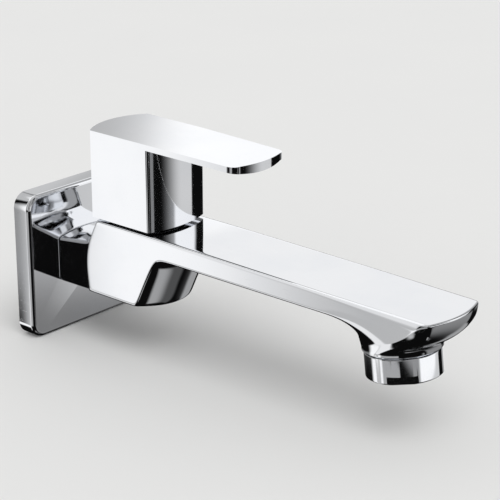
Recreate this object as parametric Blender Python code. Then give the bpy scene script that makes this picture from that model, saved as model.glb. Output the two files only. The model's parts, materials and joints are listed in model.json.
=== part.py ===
"""Wall-mounted long-body bib tap with a quarter-turn lever, a square wall flange and an aerated outlet.

Frame: the wall is the plane y = 0, the spout points along -Y and +Z is up. The origin lies on the wall
plane and the centre line, in the middle of the flange's bottom rim. Shapes are written in millimetres
from the inlet axis and placed by the empties tap_frame, lever_axis and outlet_axis.
"""

import math

import bmesh
import bpy
from mathutils import Matrix, Vector

MM = 0.001
GAP = 0.3

# Wall flange
FLANGE_SIDE = 65.0
FLANGE_DEPTH = 9.5
FLANGE_CORNER = 6.5
FLANGE_WALL = 2.0
FLANGE_EDGE = 1.8
INLET_HEIGHT = FLANGE_SIDE / 2 - FLANGE_WALL / 2

# Casting
BODY_HALF_WIDTH = 17.4
BODY_TOP = 24.5
BODY_UNDER = -9.1
SPOUT_UNDER = 15.1
NECK_HALF_WIDTH = 15.7
EDGE = 0.6
CHIN_ARC = 20.0
BACK_ARC = 28.0
TIP_ARC = 40.0
TIP_APEX_Y = -209.3
TIP_TOP = 23.2
TIP_SLOPE_START_Y = -87.0

# Inlet: G1/2 external thread
THREAD_RADIUS = 10.478
THREAD_DEPTH = 1.16
THREAD_PITCH = 1.814
INLET_END_Y = 16.0
INLET_BORE = 7.2
INLET_BORE_START_Y = -31.0
STUB_START_Y = -14.0
NECK_CAP_SHRINK = 0.96

# Valve
VALVE_Y = -48.4
SEAT_BORE = 5.0
CHAMBER_RADIUS = 12.3
CHAMBER_FLOOR = 1.5
CHAMBER_ROOF = 16.2
HOUSING_THREAD = 10.478
HOUSING_FOOT = 3.2
HOUSING_SLEEVE = 10.2
HOUSING_NECK = 7.6
DISC_CHAMBER_ROOF = 12.6
HEX_ACROSS_FLATS = 24.0
HEX_BASE = 25.9
HEX_TOP = 30.0
HOUSING_TOP = 38.0
DISC_RADIUS = 8.3
DISC_THICK = 2.5
PORT_RADIUS = 2.4
PORT_OFFSET = 4.4
FIXED_DISC_BASE = 4.3
SHAFT_RADIUS = 4.5
SPLINE_RADIUS = 4.0
SPLINE_TEETH = 20
SPLINE_ROOT = 0.86
SPINDLE_TOP = 51.0
ORING_WIRE = 0.83
ORING_HEIGHTS = {"spindle_oring_lower": 18.0, "spindle_oring_upper": 23.0}
ORING_GROOVE_DEPTH = 1.9
CIRCLIP_BASE = 39.3
CIRCLIP_THICK = 0.8
CIRCLIP_GROOVE = 3.1

# Lever
HUB_BOTTOM = BODY_TOP + 1.2
LEVER_TOP = 63.6
PLATE_SIDE_THICK = 2.5
PLATE_CROWN = 1.4
LEVER_HALF_WIDTH = 17.1
LEVER_BACK_Y = -26.9
LEVER_BACK_ARC = 28.2
HUB_FRONT_Y = -68.3
HUB_FRONT_ARC = 47.0
PLATE_FRONT_Y = -113.3
PLATE_FRONT_ARC = 46.0
PLATE_CORNER = 4.0
LEVER_TAPER_START_Y = -56.0
LEVER_TAPER = 0.0285
LEVER_FALL = 0.0139
CAVITY_RADIUS = 14.6
CAVITY_TOP = 40.0
INSERT_BORE = 6.3
SCREW_HEIGHT = 46.5
SCREW_RADIUS = 2.35

# Outlet and aerator, measured along the outlet axis from the joint plane
OUTLET_Y = -183.2
OUTLET_Z = 3.5
OUTLET_TILT = math.radians(7.3)
COLLAR_RADIUS = 15.85
COLLAR_END = 0.5
OUTLET_BORE = 13.95
RING_RADIUS = 15.1
RING_THREAD = 13.6
RING_BORE = 12.0
RING_HEIGHT = 10.2
RING_NECK = 7.5
GRILLE_PITCH = 4.2
GRILLE_CELL = 1.95
GRILLE_REACH = 9.3
FLAT_CHORD = 11.9
FLAT_HEIGHT = 3.3
FLAT_DIRECTION = math.radians(213.5)

CHROME = ((0.80, 0.81, 0.83), 0.06, 1.0)
BRASS = ((0.72, 0.55, 0.27), 0.28, 1.0)
STEEL = ((0.62, 0.62, 0.63), 0.30, 1.0)
CERAMIC = ((0.90, 0.89, 0.85), 0.25, 0.0)
RUBBER = ((0.03, 0.03, 0.03), 0.75, 0.0)
BLACK_PLASTIC = ((0.05, 0.05, 0.055), 0.45, 0.0)
WHITE_PLASTIC = ((0.78, 0.78, 0.76), 0.40, 0.0)


# ---------------------------------------------------------------- scene helpers

def clear_scene():
    for item in list(bpy.data.objects):
        bpy.data.objects.remove(item)


def make_empty(name, location):
    empty = bpy.data.objects.new(name, None)
    empty.location = Vector(location) * MM
    bpy.context.scene.collection.objects.link(empty)
    return empty


def finish_material(name, finish):
    colour, roughness, metallic = finish
    material = bpy.data.materials.new(name)
    material.use_nodes = True
    shader = material.node_tree.nodes["Principled BSDF"]
    shader.inputs["Base Color"].default_value = (*colour, 1.0)
    shader.inputs["Roughness"].default_value = roughness
    shader.inputs["Metallic"].default_value = metallic
    material.diffuse_color = (*colour, 1.0)
    return material


def add_object(name, points, faces, parent, finish=None):
    """An object from points in millimetres and face index lists. Without a finish it is a hidden cutter."""
    mesh = bpy.data.meshes.new(name)
    mesh.from_pydata([Vector(p) * MM for p in points], [], faces)
    bm = bmesh.new()
    bm.from_mesh(mesh)
    bmesh.ops.recalc_face_normals(bm, faces=bm.faces)
    bm.to_mesh(mesh)
    bm.free()
    item = bpy.data.objects.new(name, mesh)
    item.parent = parent
    bpy.context.scene.collection.objects.link(item)
    if finish:
        mesh.materials.append(finish_material(name + "_finish", finish))
        mesh.shade_smooth()
        mesh.set_sharp_from_angle(angle=math.radians(35))
    else:
        item.hide_render = True
        item.display_type = "WIRE"
    return item


def combine(item, tool, operation):
    modifier = item.modifiers.new(operation.lower() + "_" + tool.name, "BOOLEAN")
    modifier.operation = operation
    modifier.object = tool
    modifier.solver = "EXACT"


def cut(item, *tools):
    for tool in tools:
        combine(item, tool, "DIFFERENCE")


# ---------------------------------------------------------------- shape helpers

def loft(loops, capped=True):
    """Quads between loops of equal length; the first and last are capped, or joined to each other."""
    size = len(loops[0])
    points = [p for loop in loops for p in loop]
    faces = []
    spans = len(loops) - 1 if capped else len(loops)
    for row in range(spans):
        here = row * size
        there = ((row + 1) % len(loops)) * size
        for i in range(size):
            j = (i + 1) % size
            faces.append([here + i, here + j, there + j, there + i])
    if capped:
        faces.append(list(range(size)))
        faces.append([(len(loops) - 1) * size + i for i in range(size)])
    return points, faces


def circle(radius, height, segments, phase=0.0):
    step = 2 * math.pi / segments
    return [
        (radius * math.cos(phase + i * step), radius * math.sin(phase + i * step), height)
        for i in range(segments)
    ]


def turned(name, profile, parent, finish=None, segments=28, ring=False):
    """A solid of revolution about local Z from (radius, height) points; ring=True closes the profile."""
    loops = [circle(radius, height, segments) for radius, height in profile]
    points, faces = loft(loops, capped=not ring)
    return add_object(name, points, faces, parent, finish)


def ring_profile(inner, outer, low, high):
    return [(inner, low), (inner, high), (outer, high), (outer, low)]


def prism(name, outline, low, high, parent, finish=None):
    loops = [[(x, y, z) for x, y in outline] for z in (low, high)]
    points, faces = loft(loops)
    return add_object(name, points, faces, parent, finish)


def block(name, low, high, parent, finish=None):
    outline = [(low[0], low[1]), (high[0], low[1]), (high[0], high[1]), (low[0], high[1])]
    return prism(name, outline, low[2], high[2], parent, finish)


def along_y(item, y, z=0.0):
    """Turns an object made along local Z so that its axis runs along +Y."""
    item.matrix_local = Matrix.Translation(Vector((0, y, z)) * MM) @ Matrix.Rotation(-math.pi / 2, 4, "X")
    return item


def rounded_square(half, corner, y, steps):
    """A loop in the plane y, with each corner drawn as an arc."""
    centre = half - corner
    points = []
    for quadrant in range(4):
        for i in range(steps + 1):
            a = (quadrant + i / steps) * math.pi / 2
            side = (quadrant + 0.5) * math.pi / 2
            cx = math.copysign(centre, math.cos(side))
            cz = math.copysign(centre, math.sin(side))
            points.append((cx + corner * math.cos(a), y, cz + corner * math.sin(a)))
    return points


def round_hole(radius, y, steps):
    """A circle in the plane y with the same number of points as rounded_square."""
    count = 4 * (steps + 1)
    angles = [2 * math.pi * (i + 0.5) / count for i in range(count)]
    return [(radius * math.cos(a), y, radius * math.sin(a)) for a in angles]


# ---------------------------------------------------------------- the casting

ACROSS = (-1.0, -0.66, -0.33, 0.0, 0.33, 0.66, 1.0)
WIDE = len(ACROSS)
TALL = 5
LOOP = 2 * (WIDE + TALL)
BACK_START = WIDE + TALL
# From the spout's last section to the rim: (height of the underside, share along it, share along the top)
SPOUT_END_STEPS = ((15.05, 0.30, 0.28), (14.6, 0.57, 0.55), (13.4, 0.79, 0.80), (11.5, 0.93, 0.965))
# Bowl under the tip: (share of the height, share of the way in) from the rim to the collar's end
BOWL_STEPS = ((0.05, 0.0), (0.25, 0.03), (0.44, 0.15), (0.60, 0.40), (0.74, 0.74), (0.84, 0.98), (0.985, 1.0))


def blend(first, second, share):
    return first + (second - first) * share


def stand_out(x, radius, half):
    """How far a plan arc through the corners at x = half stands out at x."""
    return math.sqrt(radius**2 - x**2) - math.sqrt(radius**2 - half**2)


def top_level(y):
    """The top face is level over the valve and falls slightly towards the tip."""
    fall = (BODY_TOP - TIP_TOP) / (TIP_SLOPE_START_Y - TIP_APEX_Y)
    return BODY_TOP - fall * max(0.0, TIP_SLOPE_START_Y - y)


def section(half, top, side_y, under):
    """One closed loop: across the top, down the right side, back underneath and up the left side.

    top and under are (y at the corners, z at the corners, crown, stand-out share).
    """
    top_y, top_z, top_crown, top_share = top
    under_y, under_z, under_crown, under_share = under
    inner = half - EDGE
    upper = []
    lower = []
    for share in ACROSS:
        x = share * inner
        dome = 1 - share**2
        back = top_share * stand_out(x, BACK_ARC, inner)
        front = under_share * stand_out(x, CHIN_ARC, inner)
        upper.append((x, top_y + back, top_z + top_crown * dome))
        lower.append((x, under_y - front, under_z - under_crown * dome))
    side_ys = (top_y, blend(top_y, side_y, 0.6), side_y, side_y, under_y)
    high, low = top_z - EDGE, under_z + EDGE
    side = [(half, y, blend(high, low, i / (TALL - 1))) for i, y in enumerate(side_ys)]
    mirrored = [(-x, y, z) for x, y, z in reversed(side)]
    return upper + side + list(reversed(lower)) + mirrored


def outlet_loop(radius, drop):
    """A circle about the outlet axis with its points matched to a section's; drop is below the joint."""
    step = 2 * math.pi / LOOP
    smooth = 6 / (4 + 2 * math.cos(step))
    down = Vector((0, -math.sin(OUTLET_TILT), -math.cos(OUTLET_TILT)))
    forward = Vector((0, -math.cos(OUTLET_TILT), math.sin(OUTLET_TILT)))
    centre = Vector((0, OUTLET_Y, OUTLET_Z)) + down * drop
    loop = []
    for i in range(LOOP):
        a = step * (i - (WIDE - 1) / 2)
        point = centre + radius * smooth * (Vector((math.sin(a), 0, 0)) + forward * math.cos(a))
        loop.append(tuple(point))
    return loop


def rim_loop():
    """The loop through the tip's front edge, down both sides and round the back of the collar."""
    half = BODY_HALF_WIDTH
    front = []
    for share in ACROSS:
        x = share * (half - 1.3)
        y = TIP_APEX_Y + TIP_ARC - math.sqrt(TIP_ARC**2 - x**2)
        front.append((x, y, top_level(y) - 0.1))
    side = [
        (half - 0.05, -202.6, top_level(-202.6) - 0.9),
        (half - 0.05, -196.5, 17.2),
        (half - 0.3, -189.5, 13.6),
        (half - 0.9, -182.0, 11.2),
        (half - 2.3, -175.6, 9.8),
    ]
    circle_back = outlet_loop(COLLAR_RADIUS + 0.8, -7.0)[BACK_START:BACK_START + WIDE]
    back = [(x, y, 9.0 + 0.4 * abs(x) / half) for x, y, z in circle_back]
    mirrored = [(-x, y, z) for x, y, z in reversed(side)]
    return front + side + back + mirrored


def spout_end_loop(start, rim, under_z, back_share, front_share):
    """A loop part of the way from the spout's last section to the rim loop."""
    loop = []
    for i, (a, b) in enumerate(zip(start, rim)):
        if i < WIDE:
            y = blend(a[1], b[1], front_share)
            loop.append((blend(a[0], b[0], front_share), y, top_level(y)))
        elif BACK_START <= i < BACK_START + WIDE:
            y = blend(a[1], b[1], back_share)
            loop.append((blend(a[0], b[0], back_share**3), y, under_z))
        else:
            down = min(i - WIDE, LOOP - 1 - i) / (TALL - 1)
            share = blend(front_share, back_share, down)
            height = blend(a[2], b[2], share ** (1 + 4 * down))
            loop.append((blend(a[0], b[0], share**4), blend(a[1], b[1], share), height))
    return loop


def bowl_loop(rim, seam, drop, bowl):
    """A loop part of the way down from the rim; the front bulges and the back runs straight."""
    loop = []
    for i, (a, b) in enumerate(zip(rim, seam)):
        backward = 0.0 if i < WIDE else min(1.0, min(i - WIDE, LOOP - 1 - i) / 2)
        inset = blend(bowl, min(1.0, 1.2 * drop), backward)
        loop.append((blend(a[0], b[0], inset), blend(a[1], b[1], inset), blend(a[2], b[2], drop)))
    return loop


def tip_loops(start):
    """Loops that lead from the spout's last section round the tip and down to the collar's end."""
    rim = rim_loop()
    seam = outlet_loop(COLLAR_RADIUS, -COLLAR_END)
    loops = [spout_end_loop(start, rim, *step) for step in SPOUT_END_STEPS]
    loops.append(rim)
    loops += [bowl_loop(rim, seam, *step) for step in BOWL_STEPS]
    loops.append(seam)
    loops.append(outlet_loop(COLLAR_RADIUS - 0.5, -COLLAR_END))
    return loops


def casting_loops():
    """Closed loops from the neck's back face, through the body and spout, to the collar's joint face."""
    neck, half, top, under = NECK_HALF_WIDTH, BODY_HALF_WIDTH, BODY_TOP, BODY_UNDER
    face = -FLANGE_DEPTH - GAP
    level = (top, 0.0, 0.0)
    first = section(neck, (face, 10.6, 1.7, 0), face, (face, -9.5, 1.5, 0))
    loops = [
        [(x * NECK_CAP_SHRINK, y, z * NECK_CAP_SHRINK) for x, y, z in first],
        first,
        section(neck, (face - 1, 10.7, 1.7, 0), face - 1, (face - 1, -9.5, 1.5, 0)),
        section(neck, (-18.0, 11.6, 1.7, 0), -18.0, (-18.0, -9.4, 1.3, 0)),
        section(neck, (-24.5, 12.4, 1.6, 0.1), -24.5, (-25.0, -9.3, 1.0, 0)),
        section(neck, (-28.2, 13.0, 1.5, 0.5), -27.4, (-28.2, -9.2, 0.7, 0)),
        section(half - 0.9, (-31.8, 16.6, 1.0, 0.8), -27.4, (-28.2, under, 0.5, 0)),
        section(half - 0.15, (-34.2, 22.9, 0.3, 1.0), -27.8, (-28.8, under, 0.4, 0)),
        section(half, (-34.9, top, 0.0, 1.0), -28.4, (-29.6, under, 0.3, 0)),
        section(half, (-36.2, top, 0.0, 0.95), -30.0, (-31.2, under, 0.3, 0)),
        section(half, (-44.0, *level), -42.0, (-44.0, under, 0.3, 0)),
        section(half, (-51.5, *level), -51.0, (-53.5, under, 0.3, 0.6)),
        section(half, (-56.0, *level), -55.5, (-56.6, under, 0.3, 1.0)),
        section(half, (-58.0, *level), -57.4, (-57.8, under + 1.0, 0.2, 1.0)),
        section(half, (-61.5, *level), -61.0, (-61.4, -0.4, 0.0, 1.0)),
        section(half, (-65.0, *level), -64.7, (-65.3, 7.4, 0.0, 1.0)),
        section(half, (-68.0, *level), -67.8, (-68.0, 12.2, 0.0, 0.95)),
        section(half, (-71.0, *level), -70.6, (-70.6, 14.5, 0.0, 0.85)),
        section(half, (-76.0, *level), -75.0, (-74.5, SPOUT_UNDER, 0.0, 0.7)),
    ]
    for y in (-87.0, -110.0, -135.0, -150.0):
        share = 0.3 if y == -87.0 else 0.0
        loops.append(section(half, (y, top_level(y), 0.0, 0.0), y, (y, SPOUT_UNDER, 0.0, share)))
    return loops + tip_loops(loops[-1])


def inlet_thread_profile():
    """(radius, y) points of the threaded stub, one crest per pitch, from inside the neck to the wall side."""
    root = THREAD_RADIUS - THREAD_DEPTH
    profile = [(root, STUB_START_Y), (root, 0.4)]
    crests = int((INLET_END_Y - 1.2) / THREAD_PITCH)
    for i in range(crests):
        y = 0.6 + i * THREAD_PITCH
        profile.append((THREAD_RADIUS, y + 0.45 * THREAD_PITCH))
        profile.append((root, y + 0.95 * THREAD_PITCH))
    profile.append((root, INLET_END_Y))
    return profile


def make_body(frame, outlet):
    points, faces = loft(casting_loops())
    body = add_object("tap_body", points, faces, frame, CHROME)
    smooth = body.modifiers.new("smooth", "SUBSURF")
    smooth.levels = 1
    smooth.render_levels = 1
    flats = body.modifiers.new("flats", "DECIMATE")
    flats.decimate_type = "DISSOLVE"
    flats.angle_limit = math.radians(2.5)
    stub = along_y(turned("inlet_stub", inlet_thread_profile(), frame), 0.0)
    combine(body, stub, "UNION")
    valve_bores = turned("valve_bores", [
        (SEAT_BORE, -4.0), (SEAT_BORE, CHAMBER_FLOOR),
        (CHAMBER_RADIUS, CHAMBER_FLOOR), (CHAMBER_RADIUS, CHAMBER_ROOF),
        (HOUSING_THREAD + 0.32, CHAMBER_ROOF + 0.6), (HOUSING_THREAD + 0.32, BODY_TOP + 1),
    ], frame)
    valve_bores.location = Vector((0, VALVE_Y, 0)) * MM
    bore_ends = [(INLET_BORE, INLET_BORE_START_Y), (INLET_BORE, INLET_END_Y + 1)]
    inlet_bore = along_y(turned("inlet_bore", bore_ends, frame), 0.0)
    outlet_bores = turned("outlet_bores", [
        (OUTLET_BORE, -1.0), (OUTLET_BORE, 9.0), (10.5, 10.5), (10.5, 15.5),
    ], outlet)
    cut(
        body,
        inlet_bore,
        block("low_passage", (-8, -56, -6.6), (8, -29, -2.6), frame),
        valve_bores,
        block("chin_passage", (-8, -63.2, 6.5), (8, -55, 15.6), frame),
        block("riser", (-8, -65.2, 6.7), (8, -62.0, 19.4), frame),
        block("spout_channel", (-12, -186, 17.7), (12, -62.2, 22.0), frame),
        outlet_bores,
    )


# ---------------------------------------------------------------- wall side

def make_flange(frame):
    half, corner, steps = FLANGE_SIDE / 2, FLANGE_CORNER, 6
    inside = half - FLANGE_WALL
    hole = THREAD_RADIUS + GAP
    loops = [rounded_square(half, corner, 0.0, steps)]
    for i in range(4):
        a = i * math.pi / 6
        shrink = FLANGE_EDGE * (1 - math.cos(a))
        y = -FLANGE_DEPTH + FLANGE_EDGE * (1 - math.sin(a))
        loops.append(rounded_square(half - shrink, corner - shrink, y, steps))
    loops.append(round_hole(hole, -FLANGE_DEPTH, steps))
    loops.append(round_hole(hole, -FLANGE_DEPTH + FLANGE_WALL, steps))
    loops.append(rounded_square(inside, corner - FLANGE_WALL, -FLANGE_DEPTH + FLANGE_WALL, steps))
    loops.append(rounded_square(inside, corner - FLANGE_WALL, 0.0, steps))
    points, faces = loft(loops, capped=False)
    add_object("wall_flange", points, faces, frame, CHROME)


def make_gasket(frame):
    half, corner, steps = FLANGE_SIDE / 2 - FLANGE_WALL - GAP, FLANGE_CORNER - FLANGE_WALL, 6
    front, back = -2.0, -0.3
    hole = THREAD_RADIUS + 1.0
    loops = [
        rounded_square(half, corner, back, steps),
        rounded_square(half, corner, front, steps),
        round_hole(hole, front, steps),
        round_hole(hole, back, steps),
    ]
    points, faces = loft(loops, capped=False)
    add_object("wall_gasket", points, faces, frame, RUBBER)


# ---------------------------------------------------------------- valve

def make_housing(valve):
    """Brass headwork: a sleeve with side windows, a thread, a hexagon and a guide for the spindle."""
    bore = SHAFT_RADIUS + 0.35
    disc_bore = DISC_RADIUS + 0.4
    hex_radius = HEX_ACROSS_FLATS / 2 / math.cos(math.pi / 6)
    housing = turned("headwork_housing", [
        (disc_bore, HOUSING_FOOT), (HOUSING_SLEEVE, HOUSING_FOOT), (HOUSING_SLEEVE, CHAMBER_ROOF),
        (HOUSING_THREAD, CHAMBER_ROOF + 0.7), (HOUSING_THREAD, HEX_BASE + 0.5), (HOUSING_NECK, HEX_BASE + 0.5),
        (HOUSING_NECK, HOUSING_TOP), (bore, HOUSING_TOP),
        (bore, DISC_CHAMBER_ROOF), (disc_bore, DISC_CHAMBER_ROOF),
    ], valve, BRASS, ring=True)
    hexagon = turned("housing_hexagon", ring_profile(bore + 1, hex_radius, HEX_BASE, HEX_TOP), valve,
                     segments=6, ring=True)
    combine(housing, hexagon, "UNION")
    cut(
        housing,
        block("side_windows", (-12, -3.4, 6.6), (12, 3.4, 11.6), valve),
    )


def make_disc(name, base, direction, parent):
    disc = turned(name, [(DISC_RADIUS, base), (DISC_RADIUS, base + DISC_THICK)], parent, CERAMIC)
    for side in (-1, 1):
        offset = side * PORT_OFFSET
        through = [(PORT_RADIUS, base - 1), (PORT_RADIUS, base + DISC_THICK + 1)]
        port = turned(f"{name}_port_{side}", through, parent, segments=12)
        port.location = Vector((offset * direction[0], offset * direction[1], 0)) * MM
        cut(disc, port)


def make_spindle(lever):
    groove = SHAFT_RADIUS - ORING_GROOVE_DEPTH
    foot = FIXED_DISC_BASE + 2 * DISC_THICK + 2 * GAP
    profile = [(DISC_RADIUS - 0.1, foot), (DISC_RADIUS - 0.1, foot + 2.2), (SHAFT_RADIUS, foot + 2.2)]
    for height in sorted(ORING_HEIGHTS.values()):
        low, high = height - 1.15, height + 1.15
        profile += [(SHAFT_RADIUS, low), (groove, low), (groove, high), (SHAFT_RADIUS, high)]
    clip_low, clip_high = CIRCLIP_BASE - GAP, CIRCLIP_BASE + CIRCLIP_THICK + GAP
    profile += [(SHAFT_RADIUS, clip_low), (CIRCLIP_GROOVE, clip_low)]
    profile += [(CIRCLIP_GROOVE, clip_high), (SPLINE_RADIUS, clip_high)]
    profile += [(SPLINE_RADIUS, SPINDLE_TOP - 0.6), (SPLINE_RADIUS - 0.6, SPINDLE_TOP)]
    spindle = turned("spindle", profile, lever, BRASS, segments=24)
    low, high = clip_high + 0.6, SPINDLE_TOP + 1
    teeth_low, teeth_high, sleeve_high, sleeve_low = (
        circle(radius, z, 2 * SPLINE_TEETH) for radius, z in
        ((SPLINE_RADIUS + 0.25, low), (SPLINE_RADIUS + 0.25, high), (7.0, high), (7.0, low))
    )
    for loop in (teeth_low, teeth_high):
        for i in range(0, len(loop), 2):
            x, y, z = loop[i]
            loop[i] = (x * SPLINE_ROOT, y * SPLINE_ROOT, z)
    points, faces = loft([teeth_low, teeth_high, sleeve_high, sleeve_low], capped=False)
    cut(spindle, add_object("spline_cutter", points, faces, lever))


def make_oring(name, height, parent):
    centre = SHAFT_RADIUS - ORING_GROOVE_DEPTH + GAP + ORING_WIRE
    angles = [2 * math.pi * i / 8 for i in range(8)]
    profile = [(centre + ORING_WIRE * math.cos(a), height + ORING_WIRE * math.sin(a)) for a in angles]
    turned(name, profile, parent, RUBBER, segments=20, ring=True)


def make_circlip(lever):
    """An open spring ring whose ends leave a gap."""
    steps, half_gap = 20, math.radians(28)
    outline = ring_profile(CIRCLIP_GROOVE + 0.35, 6.0, CIRCLIP_BASE, CIRCLIP_BASE + CIRCLIP_THICK)
    loops = []
    for i in range(steps + 1):
        a = half_gap + (2 * math.pi - 2 * half_gap) * i / steps
        loops.append([(radius * math.cos(a), radius * math.sin(a), z) for radius, z in outline])
    points, faces = loft(loops)
    add_object("circlip", points, faces, lever, STEEL)


def make_valve(valve, lever):
    make_housing(valve)
    turned("housing_washer", ring_profile(HOUSING_THREAD + GAP, 13.2, BODY_TOP + GAP, HEX_BASE - GAP), valve,
           RUBBER, ring=True)
    turned("glide_ring", ring_profile(14.2, 15.6, BODY_TOP + GAP, HUB_BOTTOM - GAP), valve, BLACK_PLASTIC,
           segments=36, ring=True)
    turned("seat_seal", ring_profile(5.2, 7.9, CHAMBER_FLOOR + GAP, FIXED_DISC_BASE - GAP), valve,
           RUBBER, ring=True)
    turned("friction_washer", ring_profile(SHAFT_RADIUS + GAP, 7.2, HOUSING_TOP + GAP, CIRCLIP_BASE - GAP),
           valve, WHITE_PLASTIC, ring=True)
    make_disc("fixed_disc", FIXED_DISC_BASE, (1, 0), valve)
    make_disc("moving_disc", FIXED_DISC_BASE + DISC_THICK + GAP, (0, 1), lever)
    make_spindle(lever)
    for name, height in ORING_HEIGHTS.items():
        make_oring(name, height, lever)
    make_circlip(lever)


# ---------------------------------------------------------------- lever

def lever_stations():
    """Places across the lever, closer together in the rounded front corners."""
    arc_end = LEVER_HALF_WIDTH - PLATE_CORNER
    corner = [arc_end + PLATE_CORNER * math.sin(i * math.pi / 8) for i in range(5)]
    middle = [arc_end * i / 5 for i in range(-4, 5)]
    return [-x for x in reversed(corner)] + middle + corner


def plate_front(x):
    """The plate's front edge: one arc with a round at each end."""
    arc_end = LEVER_HALF_WIDTH - PLATE_CORNER
    if abs(x) <= arc_end:
        return PLATE_FRONT_Y + PLATE_FRONT_ARC - math.sqrt(PLATE_FRONT_ARC**2 - x**2)
    corner_y = PLATE_FRONT_Y + PLATE_FRONT_ARC - math.sqrt(PLATE_FRONT_ARC**2 - arc_end**2) + PLATE_CORNER
    return corner_y - math.sqrt(max(0.0, PLATE_CORNER**2 - (abs(x) - arc_end) ** 2))


def lever_point(x, y, z, top):
    """Places a point of the lever, which narrows and falls slightly towards its front."""
    run = max(0.0, LEVER_TAPER_START_Y - y)
    narrow = 1 - LEVER_TAPER * run / LEVER_HALF_WIDTH
    return (x * narrow, y - VALVE_Y, z - (LEVER_FALL * run if top else 0.0))


def lever_section(x):
    """The closed outline of the lever at one place across it: plate top, plate front, underside and hub."""
    back = LEVER_BACK_Y - LEVER_BACK_ARC + math.sqrt(LEVER_BACK_ARC**2 - x**2)
    hub = HUB_FRONT_Y + HUB_FRONT_ARC - math.sqrt(HUB_FRONT_ARC**2 - x**2)
    front = plate_front(x)
    under = LEVER_TOP - PLATE_SIDE_THICK - PLATE_CROWN * (1 - (x / LEVER_HALF_WIDTH) ** 2)
    return [
        lever_point(x, back, LEVER_TOP, True),
        lever_point(x, hub, LEVER_TOP, True),
        lever_point(x, front, LEVER_TOP, True),
        lever_point(x, front, under, True),
        lever_point(x, hub, under, True),
        lever_point(x, hub, HUB_BOTTOM, False),
        lever_point(x, back, HUB_BOTTOM, False),
    ]


def make_lever(lever):
    """A hub with two flats under a thin plate whose underside is crowned, with the pieces inside the hub."""
    points, faces = loft([lever_section(x) for x in lever_stations()])
    handle = add_object("lever_handle", points, faces, lever, CHROME)
    cavity = turned("hub_cavity", [
        (CAVITY_RADIUS, HUB_BOTTOM - 1), (CAVITY_RADIUS, CAVITY_TOP),
        (INSERT_BORE, CAVITY_TOP + 0.01), (INSERT_BORE, 53.5),
    ], lever, segments=32)
    access = along_y(turned("screw_access", [(3.5, 17.4), (3.5, 25.0)], lever, segments=20), 0.0, SCREW_HEIGHT)
    thread = along_y(turned("screw_bore", [(2.7, 5.0), (2.7, 18.0)], lever, segments=16), 0.0, SCREW_HEIGHT)
    cut(handle, cavity, access, thread)

    insert = turned("spline_insert", ring_profile(SPLINE_RADIUS + GAP, INSERT_BORE - GAP, 40.9, 53.0), lever,
                    WHITE_PLASTIC, segments=24, ring=True)
    cut(insert, block("insert_slot", (-1.0, -7.0, 46.0), (1.0, 0.0, 54.0), lever))
    screw = along_y(turned("grub_screw", [(1.6, 6.4), (SCREW_RADIUS, 7.2), (SCREW_RADIUS, 14.4)], lever,
                           STEEL, segments=16), 0.0, SCREW_HEIGHT)
    socket = along_y(turned("screw_socket", [(1.44, 12.0), (1.44, 15.0)], lever, segments=6), 0.0, SCREW_HEIGHT)
    cut(screw, socket)
    along_y(turned("screw_plug", [(2.6, 18.0), (3.2, 18.4), (3.2, 20.6), (2.7, 21.3)], lever,
                   WHITE_PLASTIC, segments=20), 0.0, SCREW_HEIGHT)


# ---------------------------------------------------------------- outlet

def make_aerator(outlet):
    """Pieces are turned about local Z, which points up into the spout; negative heights are below the joint."""
    foot = -RING_HEIGHT - GAP
    ring = turned("aerator_housing", [
        (RING_BORE, RING_NECK), (RING_BORE, foot + 1.2), (RING_BORE - 1.0, foot + 1.2),
        (RING_BORE - 1.0, foot), (RING_RADIUS - 0.5, foot), (RING_RADIUS, foot + 0.5),
        (RING_RADIUS, -GAP - 0.3), (RING_RADIUS - 0.3, -GAP), (RING_THREAD, -GAP), (RING_THREAD, RING_NECK),
    ], outlet, CHROME, segments=48, ring=True)
    depth = math.sqrt(RING_RADIUS**2 - (FLAT_CHORD / 2) ** 2)
    for side, turn in (("front", 0.0), ("back", math.pi)):
        low, high = (depth, -10, foot - 1), (depth + 5, 10, foot + FLAT_HEIGHT)
        flat = block(f"spanner_flat_{side}", low, high, outlet)
        flat.rotation_euler = (0, 0, FLAT_DIRECTION + turn)
        cut(ring, flat)
    turned("aerator_washer", ring_profile(11.2, 13.4, RING_NECK + GAP, 8.8), outlet, RUBBER, ring=True)

    reach = RING_BORE - GAP
    turned("aerator_screen", [
        (2.0, 7.9), (reach - 3.4, 7.2), (reach - 1.2, 6.2), (reach, 6.2),
        (reach, 7.0), (reach - 3, 8.0), (2.0, 8.7),
    ], outlet, STEEL)
    cage = turned("aerator_cage", [
        (reach - 1.3, 5.8), (reach, 5.8), (reach, -4.4), (reach - 1.3, -4.4), (reach - 1.3, 0.0), (3.0, 0.0),
        (3.0, 1.4), (reach - 1.3, 1.4),
    ], outlet, WHITE_PLASTIC, ring=True)
    for i in range(6):
        hole = turned(f"jet_hole_{i}", [(1.5, -1), (1.5, 3)], outlet, segments=8)
        a = math.radians(60 * i + 7)
        hole.location = Vector((6.6 * math.cos(a), 6.6 * math.sin(a), 0)) * MM
        cut(cage, hole)

    grille = turned("aerator_grille", [(reach, foot + 1.5), (reach, -4.8)], outlet, WHITE_PLASTIC)
    centres = []
    for row in range(-2, 3):
        for column in range(-2, 3):
            x = GRILLE_PITCH * (column + 0.5 * (row % 2))
            y = GRILLE_PITCH * row * math.sqrt(3) / 2
            if math.hypot(x, y) < GRILLE_REACH:
                centres.append((x, y))
    for i, (x, y) in enumerate(centres):
        cell = turned(f"grille_cell_{i}", [(GRILLE_CELL, foot), (GRILLE_CELL, -3)], outlet, segments=6)
        cell.location = Vector((x, y, 0)) * MM
        cell.rotation_euler = (0, 0, math.radians(30))
        cut(grille, cell)


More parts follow.
